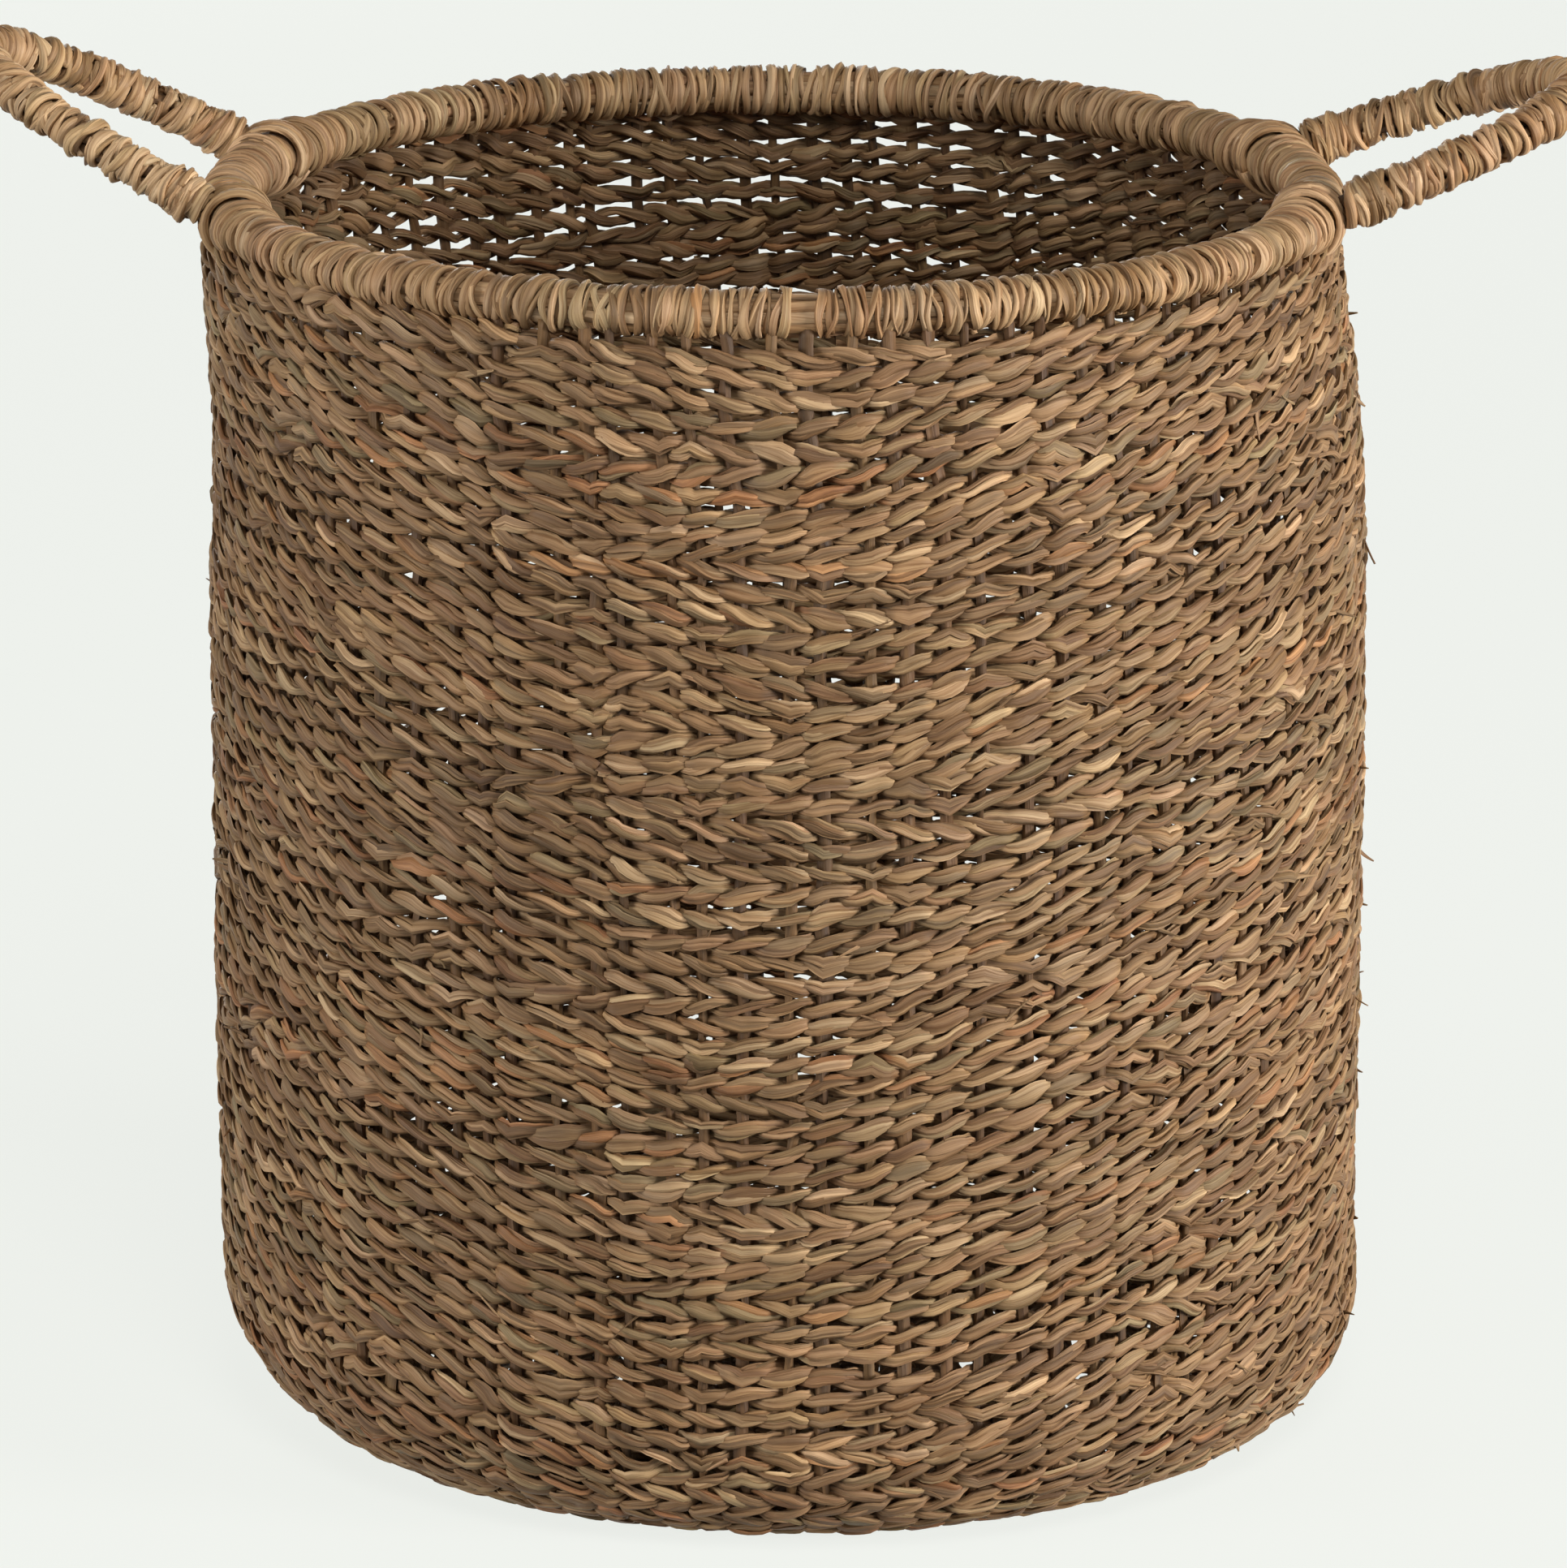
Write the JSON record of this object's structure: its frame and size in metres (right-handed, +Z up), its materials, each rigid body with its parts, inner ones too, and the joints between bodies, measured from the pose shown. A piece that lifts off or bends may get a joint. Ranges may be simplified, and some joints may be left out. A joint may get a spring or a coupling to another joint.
{
  "type": "seagrass storage basket",
  "caption": "Tall round open-topped basket of twined seagrass with a bound rim and wrapped rope loop handles that swing at the sides.",
  "frame": {"origin": "centre of the base's underside, on the floor", "axes": "+Z up through the mouth, +X towards the right handle, -Y towards the front"},
  "size_m": [0.4905, 0.3514, 0.4202],
  "materials": {
    "wall_weave": "matte",
    "base_weave": "matte",
    "binding": "matte",
    "core_grass": "matte"
  },
  "bodies": {
    "basket": {"base_start": "base_weave", "base_weave_inner": "base_weave", "base_weave_middle": "base_weave", "base_weave_outer": "base_weave", "base_corner_lower": "base_weave", "base_corner_middle": "base_weave", "base_corner_upper": "base_weave", "wall_weave_1": "wall_weave", "wall_weave_2": "wall_weave", "wall_weave_3": "wall_weave", "wall_weave_4": "wall_weave", "wall_weave_5": "wall_weave", "wall_weave_6": "wall_weave", "wall_weave_7": "wall_weave", "wall_weave_8": "wall_weave", "rim_core": "core_grass", "rim_binding": "binding"},
    "left_handle": {"left_handle_rope": "core_grass", "left_handle_wrap": "binding", "left_handle_front_lashing": "binding", "left_handle_rear_lashing": "binding"},
    "right_handle": {"right_handle_rope": "core_grass", "right_handle_wrap": "binding", "right_handle_front_lashing": "binding", "right_handle_rear_lashing": "binding"}
  },
  "joints": [
    {"name": "left_handle_swing", "type": "hinge", "parent": "basket", "child": "left_handle", "pos_m": [-0.15474, 0.00946, 0.372], "axis": [0.061, 0.9981, 0], "range_deg": [-57, 73]},
    {"name": "right_handle_swing", "type": "hinge", "parent": "basket", "child": "right_handle", "pos_m": [0.15474, 0.00946, 0.372], "axis": [0.061, -0.9981, 0], "range_deg": [-50, 80]}
  ]
}
